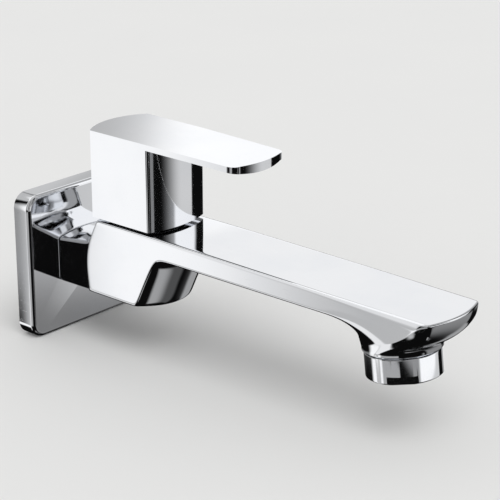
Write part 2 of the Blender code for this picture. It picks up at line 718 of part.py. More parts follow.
def build():
    clear_scene()
    frame = make_empty("tap_frame", (0, 0, INLET_HEIGHT))
    valve = make_empty("valve_axis", (0, VALVE_Y, INLET_HEIGHT))
    lever = make_empty("lever_axis", (0, VALVE_Y, INLET_HEIGHT))
    outlet = make_empty("outlet_axis", (0, OUTLET_Y, INLET_HEIGHT + OUTLET_Z))
    outlet.rotation_euler = (-OUTLET_TILT, 0, 0)
    make_body(frame, outlet)
    make_flange(frame)
    make_gasket(frame)
    make_valve(valve, lever)
    make_lever(lever)
    make_aerator(outlet)


build()
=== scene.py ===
"""Looks of a wall-mounted lever bib tap: fine surfaces, finishes, stage, light and camera.

Shapes are written in millimetres from the inlet axis, as a drawing of the tap would give them. The driving
sizes come from the frame's boxes and from its hinge.
"""

import json
import math

import bmesh
import bpy
from mathutils import Matrix, Vector


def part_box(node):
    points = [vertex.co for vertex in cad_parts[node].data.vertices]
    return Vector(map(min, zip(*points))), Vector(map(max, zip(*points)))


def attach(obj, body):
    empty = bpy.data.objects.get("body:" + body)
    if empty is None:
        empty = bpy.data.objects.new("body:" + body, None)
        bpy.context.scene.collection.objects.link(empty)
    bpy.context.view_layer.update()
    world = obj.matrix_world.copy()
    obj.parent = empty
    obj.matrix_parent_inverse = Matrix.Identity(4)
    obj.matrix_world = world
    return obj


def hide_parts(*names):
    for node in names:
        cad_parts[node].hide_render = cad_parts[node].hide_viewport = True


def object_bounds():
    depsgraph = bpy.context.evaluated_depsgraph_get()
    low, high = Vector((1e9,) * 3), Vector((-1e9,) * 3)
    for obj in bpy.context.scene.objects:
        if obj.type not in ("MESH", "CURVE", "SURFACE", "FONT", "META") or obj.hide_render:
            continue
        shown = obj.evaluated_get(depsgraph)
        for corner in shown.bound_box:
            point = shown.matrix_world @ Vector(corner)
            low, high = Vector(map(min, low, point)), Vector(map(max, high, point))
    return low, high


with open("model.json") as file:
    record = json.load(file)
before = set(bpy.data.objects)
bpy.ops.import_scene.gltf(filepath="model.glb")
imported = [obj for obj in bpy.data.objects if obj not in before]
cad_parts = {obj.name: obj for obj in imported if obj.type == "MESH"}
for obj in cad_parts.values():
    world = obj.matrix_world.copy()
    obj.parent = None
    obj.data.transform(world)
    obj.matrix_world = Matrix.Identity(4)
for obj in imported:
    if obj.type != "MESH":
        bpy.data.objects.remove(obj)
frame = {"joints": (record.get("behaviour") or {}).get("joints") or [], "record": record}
cad_low, cad_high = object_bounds()

MM = 0.001
VALVE_AXIS = Vector(frame["joints"][0]["pos_m"])
INLET_AXIS = Vector((0, 0, VALVE_AXIS.z))


def span(node):
    """Lowest and highest corner of a CAD node, in millimetres from the inlet axis."""
    low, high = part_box(node)
    return (low - INLET_AXIS) / MM, (high - INLET_AXIS) / MM


flange_low, flange_high = span("wall_flange")
body_low, body_high = span("tap_body")
lever_low, lever_high = span("lever_handle")
gasket_low, gasket_high = span("wall_gasket")

# Wall flange
FLANGE_HALF = flange_high.x
FLANGE_DEPTH = -flange_low.y
FLANGE_CORNER = 6.5
FLANGE_WALL = 2.0
FLANGE_EDGE = 1.8

# Casting
HALF = body_high.x
TOP = body_high.z
UNDER = -9.1
SPOUT_UNDER = 15.1
NECK_HALF = HALF - 1.7
EDGE = 0.6
CHIN_ARC = 20.0
BACK_ARC = 28.0
TIP_ARC = 40.0
TIP_Y = body_low.y - 0.25
TIP_TOP = TOP - 1.3
TIP_SLOPE_START_Y = -87.0

# Inlet: G1/2 external thread
THREAD_RADIUS = 10.478
THREAD_DEPTH = 1.16
THREAD_PITCH = 1.814
INLET_END_Y = body_high.y
INLET_BORE = 7.2

# Valve
GAP = 0.3
VALVE_Y = VALVE_AXIS.y / MM
SEAT_BORE = 5.0
CHAMBER_RADIUS = 12.3
CHAMBER_FLOOR = 1.5
CHAMBER_ROOF = 16.2
HOUSING_BORE = 10.8
HOUSING_THREAD = 10.478
HOUSING_THREAD_PITCH = 1.337
HOUSING_FOOT = 3.2
HOUSING_SLEEVE = 10.2
HOUSING_NECK = 7.6
DISC_CHAMBER_ROOF = 12.6
HEX_ACROSS_FLATS = 24.0
HEX_BASE = 25.9
HEX_TOP = 30.0
HOUSING_TOP = 38.0
DISC_RADIUS = 8.3
DISC_THICK = 2.5
PORT_RADIUS = 2.4
PORT_OFFSET = 4.4
FIXED_DISC_BASE = 4.3
SHAFT_RADIUS = 4.5
SPLINE_RADIUS = 4.0
SPLINE_TEETH = 20
SPLINE_ROOT = 0.86
CUTTER_RADIUS = 7.0
SPINDLE_TOP = 51.0
ORING_WIRE = 0.83
ORING_GROOVE_DEPTH = 1.9
ORING_HEIGHTS = {"spindle_oring_lower": 18.0, "spindle_oring_upper": 23.0}
CIRCLIP_BASE = 39.3
CIRCLIP_THICK = 0.8
CIRCLIP_GROOVE = 3.1
CIRCLIP_RADIUS = 6.0
CIRCLIP_HALF_GAP = math.radians(28)

# Lever
HUB_BOTTOM = lever_low.z
LEVER_TOP = lever_high.z
PLATE_SIDE_THICK = 2.5
PLATE_CROWN = 1.4
LEVER_HALF = lever_high.x
LEVER_BACK_Y = lever_high.y
LEVER_BACK_ARC = 28.2
HUB_FRONT_Y = -68.3
HUB_FRONT_ARC = 47.0
PLATE_FRONT_Y = lever_low.y
PLATE_FRONT_ARC = 46.0
PLATE_CORNER = 4.0
HUB_CORNER = 1.2
LEVER_TAPER_START_Y = -56.0
LEVER_TAPER = 0.0285
LEVER_FALL = 0.0139
LEVER_EDGE = 0.4
CAVITY_RADIUS = 14.6
CAVITY_TOP = 40.0
INSERT_BORE = 6.3
INSERT_BORE_TOP = 53.5
ACCESS_BORE = 3.5
SCREW_BORE = 2.7
SCREW_HEIGHT = 46.5
SCREW_RADIUS = 2.35

# Outlet and aerator, measured along the outlet axis from the joint plane
OUTLET_Y = -183.2
OUTLET_Z = 3.5
OUTLET_TILT = math.radians(7.3)
COLLAR_RADIUS = 15.85
COLLAR_END = 0.5
OUTLET_BORE = 13.95
RING_RADIUS = 15.1
RING_THREAD = 13.6
RING_BORE = 12.0
RING_FOOT = -10.5
RING_NECK = 7.5
GRILLE_PITCH = 2.1
GRILLE_CELL = 0.98
GRILLE_REACH = 10.2
JET_HOLES = 6
JET_CIRCLE = 6.6
FLAT_CHORD = 11.9
FLAT_HEIGHT = 3.3
FLAT_DIRECTION = math.radians(213.5)


# ---------------------------------------------------------------- node graphs

class Graph:
    """Adds nodes to a tree. Each input takes a number, a colour or another node's output."""

    def __init__(self, tree):
        self.tree = tree

    def node(self, kind, inputs=None, **settings):
        made = self.tree.nodes.new(kind)
        for key, value in settings.items():
            setattr(made, key, value)
        for key, value in (inputs or {}).items():
            self.feed(made.inputs[key], value)
        return made

    def feed(self, socket, value):
        if isinstance(value, bpy.types.NodeSocket):
            self.tree.links.new(value, socket)
        else:
            socket.default_value = value

    def math(self, operation, *values):
        inputs = dict(enumerate(values))
        return self.node("ShaderNodeMath", inputs, operation=operation).outputs[0]

    def remap(self, value, low, high, out_low=0.0, out_high=1.0, kind="SMOOTHSTEP"):
        inputs = {"Value": value, "From Min": low, "From Max": high, "To Min": out_low, "To Max": out_high}
        return self.node("ShaderNodeMapRange", inputs, interpolation_type=kind).outputs[0]

    def noise(self, vector, scale, detail=3.0, rough=0.5):
        inputs = {"Vector": vector, "Scale": scale, "Detail": detail, "Roughness": rough}
        return self.node("ShaderNodeTexNoise", inputs).outputs["Fac"]

    def mix(self, share, first, second, blend="MIX"):
        made = self.node("ShaderNodeMix", data_type="RGBA", blend_type=blend)
        self.feed(made.inputs[0], share)
        self.feed(made.inputs[6], first)
        self.feed(made.inputs[7], second)
        return made.outputs[2]

    def bump(self, height, distance, normal=None):
        inputs = {"Height": height, "Distance": distance, "Strength": 1.0}
        if normal is not None:
            inputs["Normal"] = normal
        return self.node("ShaderNodeBump", inputs).outputs[0]

    def scaled(self, vector, scale):
        return self.node("ShaderNodeMapping", {"Vector": vector, "Scale": scale}).outputs[0]


def new_material(name):
    """(material, graph, Principled shader, object coordinates in metres)."""
    material = bpy.data.materials.new(name)
    material.use_nodes = True
    graph = Graph(material.node_tree)
    shader = material.node_tree.nodes["Principled BSDF"]
    place = graph.node("ShaderNodeTexCoord").outputs["Object"]
    return material, graph, shader, place


def chrome(name, tint=(0.86, 0.87, 0.89), sheen=0.03, wave=2.0e-6):
    """Polished plate: faint waviness from buffing, hairline scratches and thin smudges in the roughness."""
    material, graph, shader, place = new_material(name)
    smudge = graph.remap(graph.noise(place, 55.0, 4.0, 0.6), 0.45, 0.75)
    fine = graph.noise(place, 900.0, 2.0)
    hair = graph.noise(graph.scaled(place, (4200.0, 160.0, 4200.0)), 1.0, 2.0, 0.6)
    scratch = graph.remap(hair, 0.66, 0.74)
    rough = graph.math("MULTIPLY_ADD", smudge, 0.035, sheen)
    rough = graph.math("MULTIPLY_ADD", fine, 0.012, rough)
    rough = graph.math("MULTIPLY_ADD", scratch, 0.02, rough)
    film = graph.remap(graph.noise(place, 35.0, 3.0), 0.35, 0.7)
    colour = graph.mix(film, (*tint, 1.0), (tint[0] * 0.965, tint[1] * 0.97, tint[2] * 0.98, 1.0))
    swell = graph.bump(graph.noise(place, 120.0, 1.0), wave)
    shader.inputs["Metallic"].default_value = 1.0
    graph.feed(shader.inputs["Base Color"], colour)
    graph.feed(shader.inputs["Roughness"], rough)
    graph.feed(shader.inputs["Normal"], graph.bump(scratch, 1.5e-6, swell))
    return material


def brass(name):
    """Machined brass: fine turning rings round the valve axis and a warm, uneven tarnish."""
    material, graph, shader, place = new_material(name)
    parts = graph.node("ShaderNodeSeparateXYZ", {"Vector": place}).outputs
    rings = graph.math("SINE", graph.math("MULTIPLY", parts["Z"], 18000.0))
    tarnish = graph.remap(graph.noise(place, 180.0, 5.0, 0.65), 0.35, 0.7)
    colour = graph.mix(tarnish, (0.78, 0.58, 0.26, 1.0), (0.60, 0.42, 0.20, 1.0))
    rough = graph.math("MULTIPLY_ADD", tarnish, 0.16, 0.20)
    shader.inputs["Metallic"].default_value = 1.0
    graph.feed(shader.inputs["Base Color"], colour)
    graph.feed(shader.inputs["Roughness"], rough)
    graph.feed(shader.inputs["Normal"], graph.bump(rings, 4.0e-6))
    return material


def steel(name):
    """Stainless steel with a fine drawn grain."""
    material, graph, shader, place = new_material(name)
    grain = graph.noise(graph.scaled(place, (300.0, 300.0, 9000.0)), 1.0, 3.0, 0.6)
    colour = graph.mix(grain, (0.52, 0.52, 0.53, 1.0), (0.70, 0.70, 0.71, 1.0))
    shader.inputs["Metallic"].default_value = 1.0
    graph.feed(shader.inputs["Base Color"], colour)
    graph.feed(shader.inputs["Roughness"], graph.math("MULTIPLY_ADD", grain, 0.2, 0.18))
    graph.feed(shader.inputs["Normal"], graph.bump(grain, 5.0e-6))
    return material


def moulded(name, light, dark, rough, grain_scale, grain_depth):
    """Rubber, plastic or ceramic: a fine surface grain, mottled colour and patches of lower sheen."""
    material, graph, shader, place = new_material(name)
    grain = graph.noise(place, grain_scale, 3.0, 0.6)
    mottle = graph.noise(place, 140.0, 4.0, 0.6)
    colour = graph.mix(graph.remap(mottle, 0.3, 0.7), (*light, 1.0), (*dark, 1.0))
    graph.feed(shader.inputs["Base Color"], colour)
    graph.feed(shader.inputs["Roughness"], graph.math("MULTIPLY_ADD", mottle, 0.16, rough - 0.08))
    graph.feed(shader.inputs["Normal"], graph.bump(grain, grain_depth))
    return material


FINISH = {
    "chrome_casting": chrome("chrome_casting"),
    "chrome_flange": chrome("chrome_flange"),
    "chrome_ring": chrome("chrome_ring", sheen=0.05),
    "chrome_lever": chrome("chrome_lever"),
    "bare_brass": brass("bare_brass"),
    "stainless_steel": steel("stainless_steel"),
    "ceramic": moulded("ceramic", (0.88, 0.87, 0.83), (0.80, 0.79, 0.75), 0.18, 2500.0, 3.0e-6),
    "black_rubber": moulded(
        "black_rubber", (0.035, 0.035, 0.036), (0.018, 0.018, 0.019), 0.66, 3500.0, 2.0e-5),
    "black_plastic": moulded(
        "black_plastic", (0.045, 0.045, 0.048), (0.03, 0.03, 0.032), 0.42, 5000.0, 6.0e-6),
    "white_plastic": moulded("white_plastic", (0.78, 0.78, 0.75), (0.70, 0.70, 0.66), 0.38, 4000.0, 6.0e-6),
    "grey_plastic": moulded("grey_plastic", (0.56, 0.57, 0.58), (0.47, 0.48, 0.49), 0.36, 4000.0, 6.0e-6),
}
SLOT_OF = {part["node"]: part["material_slot"] for part in frame["record"]["subparts"]}


# ---------------------------------------------------------------- mesh helpers

TAP_PLACE = Matrix.Translation(INLET_AXIS)
VALVE_PLACE = Matrix.Translation(VALVE_AXIS)
OUTLET_PLACE = Matrix.Translation(INLET_AXIS + Vector((0, OUTLET_Y, OUTLET_Z)) * MM) @ Matrix.Rotation(
    -OUTLET_TILT, 4, "X")
ALONG_Y = Matrix.Rotation(-math.pi / 2, 4, "X")
SEGMENTS = 96
FEW_SEGMENTS = 48
RING_SEGMENTS = 144
ORING_SEGMENTS = 24
SHARP = math.radians(35)


def raw_object(name, points, faces, place):
    """A closed mesh object from points in millimetres, with its place already in its vertices."""
    mesh = bpy.data.meshes.new(name)
    mesh.from_pydata([place @ (Vector(p) * MM) for p in points], [], faces)
    bm = bmesh.new()
    bm.from_mesh(mesh)
    bmesh.ops.recalc_face_normals(bm, faces=bm.faces)
    bm.to_mesh(mesh)
    bm.free()
    item = bpy.data.objects.new(name, mesh)
    bpy.context.scene.collection.objects.link(item)
    return item


def combine(item, tool, operation):
    modifier = item.modifiers.new(tool.name, "BOOLEAN")
    modifier.operation = operation
    modifier.object = tool
    modifier.solver = "EXACT"


def bake(item, tools=()):
    """Replaces the object's mesh by its evaluated one and removes the tools it was cut with."""
    graph = bpy.context.evaluated_depsgraph_get()
    mesh = bpy.data.meshes.new_from_object(item.evaluated_get(graph))
    item.modifiers.clear()
    item.data = mesh
    for tool in tools:
        bpy.data.objects.remove(tool)


def cut(item, *tools):
    for tool in tools:
        combine(item, tool, "DIFFERENCE")
    bake(item, tools)


def finish_piece(item, node, body, edge=0.0, sharp=SHARP):
    """Smooth shading, small edge rounds, the node's finish, and the body it rides on."""
    if edge:
        bevel = item.modifiers.new("edge_rounds", "BEVEL")
        bevel.width = edge * MM
        bevel.segments = 4
        bevel.limit_method = "ANGLE"
        bevel.angle_limit = SHARP
        bevel.use_clamp_overlap = True
        bake(item)
    item.data.materials.clear()
    item.data.materials.append(FINISH[SLOT_OF[node]])
    item.data.shade_smooth()
    item.data.set_sharp_from_angle(angle=sharp)
    weights = item.modifiers.new("flat_faces", "WEIGHTED_NORMAL")
    weights.keep_sharp = True
    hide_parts(node)
    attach(item, body)
    return item


def loft(loops, capped=True):
    """Quads between loops of equal length; the first and last are capped, or joined to each other."""
    size = len(loops[0])
    points = [p for loop in loops for p in loop]
    faces = []
    spans = len(loops) - 1 if capped else len(loops)
    for row in range(spans):
        here = row * size
        there = ((row + 1) % len(loops)) * size
        for i in range(size):
            j = (i + 1) % size
            faces.append([here + i, here + j, there + j, there + i])
    if capped:
        faces.append(list(range(size)))
        faces.append([(len(loops) - 1) * size + i for i in range(size)])
    return points, faces


def circle(radius, height, segments=SEGMENTS, phase=0.0):
    step = 2 * math.pi / segments
    return [
        (radius * math.cos(phase + i * step), radius * math.sin(phase + i * step), height)
        for i in range(segments)
    ]


def turned(name, profile, place, segments=SEGMENTS, ring=False):
    """A solid of revolution about local Z from (radius, height) points; ring=True closes the profile."""
    points, faces = loft([circle(radius, height, segments) for radius, height in profile], capped=not ring)
    return raw_object(name, points, faces, place)


def ring_profile(inner, outer, low, high):
    return [(inner, low), (inner, high), (outer, high), (outer, low)]


def block(name, low, high, place):
    outline = [(low[0], low[1]), (high[0], low[1]), (high[0], high[1]), (low[0], high[1])]
    points, faces = loft([[(x, y, z) for x, y in outline] for z in (low[2], high[2])])
    return raw_object(name, points, faces, place)


def lift(height):
    return Matrix.Translation(Vector((0, 0, height)) * MM)


# ---------------------------------------------------------------- casting

ACROSS = (-1.0, -0.93, -0.62, -0.31, 0.0, 0.31, 0.62, 0.93, 1.0)
SIDE_STEPS = 6
WIDE = len(ACROSS)
TALL = SIDE_STEPS + 1
LOOP = 2 * (WIDE + TALL)
SUPPORT = 1.3
# Bowl under the tip: (share of the height, share of the way in) from the rim to the collar
BOWL_STEPS = (
    (0.05, 0.0), (0.25, 0.03), (0.44, 0.15), (0.60, 0.40),
    (0.73, 0.70), (0.81, 0.93), (0.86, 1.0), (0.985, 1.0),
)


def blend(first, second, share):
    return first + (second - first) * share


def stand_out(x, radius, half):
    """How far a plan arc through the corners at x = half stands out at x."""
    return math.sqrt(radius**2 - x**2) - math.sqrt(radius**2 - half**2)


def top_level(y):
    """The top face is level over the valve and falls slightly towards the tip."""
    fall = (TOP - TIP_TOP) / (TIP_SLOPE_START_Y - TIP_Y)
    return TOP - fall * max(0.0, TIP_SLOPE_START_Y - y)


def down_shares(height):
    """Places down a side wall: close to both edges, even between them."""
    near = min(SUPPORT, 0.14 * height) / height
    middle = [near + (1 - 2 * near) * i / (SIDE_STEPS - 2) for i in range(SIDE_STEPS - 1)]
    return [0.0, *middle, 1.0]


def section(half, top, side_y, under):
    """One closed loop: across the top, down the right side, back underneath and up the left side.

    top and under are (y at the corners, z at the corners, crown, stand-out share).
    """
    top_y, top_z, top_crown, top_share = top
    under_y, under_z, under_crown, under_share = under
    inner = half - EDGE
    upper = []
    lower = []
    for share in ACROSS:
        x = share * inner
        dome = 1 - share**2
        back = top_share * stand_out(x, BACK_ARC, inner)
        front = under_share * stand_out(x, CHIN_ARC, inner)
        upper.append((x, top_y + back, top_z + top_crown * dome))
        lower.append((x, under_y - front, under_z - under_crown * dome))
    high, low = top_z - EDGE, under_z + EDGE
    side = []
    for share in down_shares(high - low):
        y = blend(blend(top_y, side_y, min(1.0, 2.5 * share)), under_y, max(0.0, 4 * share - 3))
        side.append((half, y, blend(high, low, share)))
    mirrored = [(-x, y, z) for x, y, z in reversed(side)]
    return upper + side + list(reversed(lower)) + mirrored


def outlet_loop(radius, drop):
    """A circle about the outlet axis with its points matched to a section's; drop is below the joint."""
    step = 2 * math.pi / LOOP
    smooth = 6 / (4 + 2 * math.cos(step))
    down = Vector((0, -math.sin(OUTLET_TILT), -math.cos(OUTLET_TILT)))
    forward = Vector((0, -math.cos(OUTLET_TILT), math.sin(OUTLET_TILT)))
    centre = Vector((0, OUTLET_Y, OUTLET_Z)) + down * drop
    loop = []
    for i in range(LOOP):
        a = step * (i - (WIDE - 1) / 2)
        loop.append(tuple(centre + radius * smooth * (Vector((math.sin(a), 0, 0)) + forward * math.cos(a))))
    return loop


def along_path(points, share):
    """The point at a share of the way along a polyline, counted in its spans."""
    place = share * (len(points) - 1)
    i = min(int(place), len(points) - 2)
    return tuple(blend(a, b, place - i) for a, b in zip(points[i], points[i + 1]))


def rim_loop():
    """The loop through the tip's front edge, down both sides and round the back of the collar."""
    front = []
    for share in ACROSS:
        x = share * (HALF - 1.3)
        y = TIP_Y + TIP_ARC - math.sqrt(TIP_ARC**2 - x**2)
        front.append((x, y, top_level(y) - 0.1))
    edge = [
        (HALF - 0.05, -202.6, top_level(-202.6) - 0.9),
        (HALF - 0.05, -196.5, 15.8),
        (HALF - 0.3, -189.5, 11.4),
        (HALF - 0.9, -182.0, 9.2),
        (HALF - 2.3, -175.6, 8.4),
    ]
    side = [along_path(edge, i / SIDE_STEPS) for i in range(TALL)]
    circle_back = outlet_loop(COLLAR_RADIUS + 0.8, -7.0)[WIDE + TALL:2 * WIDE + TALL]
    back = [(x, y, 8.2) for x, y, z in circle_back]
    mirrored = [(-x, y, z) for x, y, z in reversed(side)]
    return front + side + back + mirrored


def tip_loops(start):
    """Loops that lead from the spout's last section round the tip and down to the collar's joint face."""
    rim = rim_loop()
    seam = outlet_loop(COLLAR_RADIUS, -COLLAR_END)
    loops = []
    under_z = (15.05, 14.6, 13.4, 11.5)
    under_plan = (0.30, 0.57, 0.79, 0.93)
    top_plan = (0.28, 0.55, 0.80, 0.965)
    for z, back_share, front_share in zip(under_z, under_plan, top_plan):
        loop = []
        for i, (a, b) in enumerate(zip(start, rim)):
            on_top = i < WIDE
            underneath = WIDE + TALL <= i < 2 * WIDE + TALL
            if on_top:
                share, width = front_share, front_share
            elif underneath:
                share, width = back_share, back_share**3
            else:
                down = min(i - WIDE, LOOP - 1 - i) / SIDE_STEPS
                share = blend(front_share, back_share, down)
                width = share**4
            y = blend(a[1], b[1], share)
            if on_top:
                height = top_level(y)
            elif underneath:
                height = z
            else:
                height = blend(a[2], b[2], share ** (1 + 4 * down))
            loop.append((blend(a[0], b[0], width), y, height))
        loops.append(loop)
    loops.append(rim)
    for drop, bowl in BOWL_STEPS:
        loop = []
        for i, (a, b) in enumerate(zip(rim, seam)):
            backward = 0.0 if i < WIDE else min(1.0, min(i - WIDE, LOOP - 1 - i) / 3)
            inset = blend(bowl, min(1.0, 1.2 * drop), backward)
            loop.append((blend(a[0], b[0], inset), blend(a[1], b[1], inset), blend(a[2], b[2], drop)))
        loops.append(loop)
    loops.append(seam)
    loops.append(outlet_loop(COLLAR_RADIUS - 0.5, -COLLAR_END))
    return loops


def casting_loops():
    """Closed loops from the neck's back face, through the body and spout, to the collar's joint face."""
    face = -FLANGE_DEPTH - 0.3
    half = HALF
    level = (TOP, 0.0, 0.0)
    last = section(NECK_HALF, (face, 10.6, 1.7, 0), face, (face, -9.5, 1.5, 0))
    loops = [
        [(x * 0.96, y, z * 0.96) for x, y, z in last],
        last,
        section(NECK_HALF, (face - 1, 10.7, 1.7, 0), face - 1, (face - 1, -9.5, 1.5, 0)),
        section(NECK_HALF, (-18.0, 11.6, 1.7, 0), -18.0, (-18.0, -9.4, 1.3, 0)),
        section(NECK_HALF, (-24.5, 12.4, 1.6, 0.1), -24.5, (-25.0, -9.3, 1.0, 0)),
        section(NECK_HALF, (-28.2, 13.0, 1.5, 0.5), -27.4, (-28.2, -9.2, 0.7, 0)),
        section(half - 0.9, (-31.8, 16.6, 1.0, 0.8), -27.4, (-28.2, UNDER, 0.5, 0)),
        section(half - 0.15, (-34.2, 22.9, 0.3, 1.0), -27.8, (-28.8, UNDER, 0.4, 0)),
        section(half, (-34.9, TOP, 0.0, 1.0), -28.4, (-29.6, UNDER, 0.3, 0)),
        section(half, (-36.2, TOP, 0.0, 0.95), -30.0, (-31.2, UNDER, 0.3, 0)),
        section(half, (-44.0, *level), -42.0, (-44.0, UNDER, 0.3, 0)),
        section(half, (-51.5, *level), -51.0, (-53.5, UNDER, 0.3, 0.6)),
        section(half, (-56.0, *level), -55.5, (-56.6, UNDER, 0.3, 1.0)),
        section(half, (-58.0, *level), -57.4, (-57.8, UNDER + 1.0, 0.2, 1.0)),
        section(half, (-61.5, *level), -61.0, (-61.4, -0.4, 0.0, 1.0)),
        section(half, (-65.0, *level), -64.7, (-65.3, 7.4, 0.0, 1.0)),
        section(half, (-68.0, *level), -67.8, (-68.0, 12.2, 0.0, 0.95)),
        section(half, (-71.0, *level), -70.6, (-70.6, 14.5, 0.0, 0.85)),
        section(half, (-76.0, *level), -75.0, (-74.5, SPOUT_UNDER, 0.0, 0.7)),
    ]
    for y in (-87.0, -110.0, -135.0, -150.0):
        share = 0.3 if y == -87.0 else 0.0
        loops.append(section(half, (y, top_level(y), 0.0, 0.0), y, (y, SPOUT_UNDER, 0.0, share)))
    return loops + tip_loops(loops[-1])


def threaded(name, radius, depth, pitch, start, end, thread_start, place):
    """A bar along local Z with a one-start external thread that fades in and out at its ends."""
    around, step = 96, pitch / 10
    root = radius - depth
    rows = [start] + [thread_start + i * step for i in range(int((end - thread_start) / step))] + [end]
    loops = []
    for z in rows:
        fade = max(0.0, min(1.0, (z - thread_start - 0.2) / (0.8 * pitch), (end - z + 0.2) / (0.9 * pitch)))
        loop = []
        for i in range(around):
            turn = (z / pitch + i / around) % 1.0
            crest = min(1.0, max(0.0, 1.45 - 2.9 * abs(turn - 0.5)))
            a = 2 * math.pi * i / around
            reach = root + depth * crest * fade
            loop.append((reach * math.cos(a), reach * math.sin(a), z))
        loops.append(loop)
    points, faces = loft(loops)
    return raw_object(name, points, faces, place)


def make_body():
    points, faces = loft(casting_loops())
    body = raw_object("tap_body_fine", points, faces, TAP_PLACE)
    smooth = body.modifiers.new("smooth", "SUBSURF")
    smooth.levels = 3
    smooth.render_levels = 3
    bake(body)
    inlet = TAP_PLACE @ ALONG_Y
    stub = threaded("inlet_stub", THREAD_RADIUS, THREAD_DEPTH, THREAD_PITCH, -14.0, INLET_END_Y, 0.2, inlet)
    combine(body, stub, "UNION")
    bake(body, [stub])
    tools = [turned("inlet_bore", [(INLET_BORE, -31.0), (INLET_BORE, INLET_END_Y + 1)], inlet)]
    tools += [
        turned("valve_bores", [
            (SEAT_BORE, -4.0), (SEAT_BORE, CHAMBER_FLOOR), (CHAMBER_RADIUS, CHAMBER_FLOOR),
            (CHAMBER_RADIUS, CHAMBER_ROOF), (HOUSING_BORE, CHAMBER_ROOF + 0.6), (HOUSING_BORE, TOP + 1),
        ], VALVE_PLACE),
        block("low_passage", (-8, -56, -6.6), (8, -29, -2.6), TAP_PLACE),
        block("chin_passage", (-8, -63.2, 6.5), (8, -55, 15.6), TAP_PLACE),
        block("riser", (-8, -65.2, 6.7), (8, -62.0, 19.4), TAP_PLACE),
        block("spout_channel", (-12, -186, 17.7), (12, -62.2, 22.0), TAP_PLACE),
        turned("outlet_bores", [
            (OUTLET_BORE, -1.0), (OUTLET_BORE, 9.0), (10.5, 10.5), (10.5, 15.5),
        ], OUTLET_PLACE),
    ]
    cut(body, *tools)
    finish_piece(body, "tap_body", "tap")


# ---------------------------------------------------------------- wall side

CORNER_STEPS = 16
PLATE_STEPS = 40


def rounded_square(half, corner, y):
    """A loop in the plane y, with each corner drawn as an arc."""
    centre = half - corner
    points = []
    for quadrant in range(4):
        for i in range(CORNER_STEPS + 1):
            a = (quadrant + i / CORNER_STEPS) * math.pi / 2
            side = (quadrant + 0.5) * math.pi / 2
            cx = math.copysign(centre, math.cos(side))
            cz = math.copysign(centre, math.sin(side))
            points.append((cx + corner * math.cos(a), y, cz + corner * math.sin(a)))
    return points


def round_hole(radius, y):
    """A circle in the plane y with the same number of points as rounded_square."""
    count = 4 * (CORNER_STEPS + 1)
    angles = [2 * math.pi * (i + 0.5) / count for i in range(count)]
    return [(radius * math.cos(a), y, radius * math.sin(a)) for a in angles]


def make_flange():
    rim, face = 0.35, -FLANGE_DEPTH
    inside = FLANGE_HALF - FLANGE_WALL
    inside_corner = FLANGE_CORNER - FLANGE_WALL
    hole = THREAD_RADIUS + 0.3
    loops = [
        rounded_square(FLANGE_HALF - rim, FLANGE_CORNER - rim, 0.0),
        rounded_square(FLANGE_HALF, FLANGE_CORNER, -rim),
    ]
    rounds = 10
    for i in range(rounds + 1):
        a = i * math.pi / 2 / rounds
        shrink = FLANGE_EDGE * (1 - math.cos(a))
        loops.append(rounded_square(
            FLANGE_HALF - shrink, FLANGE_CORNER - shrink, face + FLANGE_EDGE * (1 - math.sin(a))))
    loops.append(round_hole(hole + 0.3, face))
    loops.append(round_hole(hole, face + 0.3))
    loops.append(round_hole(hole, face + FLANGE_WALL))
    loops.append(rounded_square(inside, inside_corner, face + FLANGE_WALL))
    loops.append(rounded_square(inside, inside_corner, -rim))
    loops.append(rounded_square(inside + rim, inside_corner + rim, 0.0))
    points, faces = loft(loops, capped=False)
    flange = raw_object("wall_flange_fine", points, faces, TAP_PLACE)
    finish_piece(flange, "wall_flange", "tap", sharp=math.radians(50))


def make_gasket():
    half, corner = gasket_high.x, FLANGE_CORNER - FLANGE_WALL
    front, back, round_edge = gasket_low.y, gasket_high.y, 0.3
    hole = THREAD_RADIUS + 1.0
    loops = [
        rounded_square(half - round_edge, corner - round_edge, back),
        rounded_square(half, corner, back - round_edge),
        rounded_square(half, corner, front + round_edge),
        rounded_square(half - round_edge, corner - round_edge, front),
        round_hole(hole + round_edge, front),
        round_hole(hole, front + round_edge),
        round_hole(hole, back - round_edge),
        round_hole(hole + round_edge, back),
    ]
    points, faces = loft(loops, capped=False)
    finish_piece(raw_object("wall_gasket_fine", points, faces, TAP_PLACE), "wall_gasket", "tap")


# ---------------------------------------------------------------- lever

def lever_stations():
    """Places across the lever, closer together in the rounded front corners."""
    arc_end = LEVER_HALF - PLATE_CORNER
    step = math.pi / 2 / CORNER_STEPS
    corner = [arc_end + PLATE_CORNER * math.sin(i * step) for i in range(CORNER_STEPS + 1)]
    middle = [arc_end * (2 * i / PLATE_STEPS - 1) for i in range(1, PLATE_STEPS)]
    return [-x for x in reversed(corner)] + middle + corner


def front_edge(x, apex_y, arc, corner):
    """A front edge seen from above: one arc with a round at each end."""
    arc_end = LEVER_HALF - corner
    if abs(x) <= arc_end:
        return apex_y + arc - math.sqrt(arc**2 - x**2)
    corner_y = apex_y + arc - math.sqrt(arc**2 - arc_end**2) + corner
    return corner_y - math.sqrt(max(0.0, corner**2 - (abs(x) - arc_end) ** 2))


def lever_point(x, y, z, top):
    """Places a point of the lever, which narrows and falls slightly towards its front."""
    run = max(0.0, LEVER_TAPER_START_Y - y)
    narrow = 1 - LEVER_TAPER * run / LEVER_HALF
    return (x * narrow, y - VALVE_Y, z - (LEVER_FALL * run if top else 0.0))


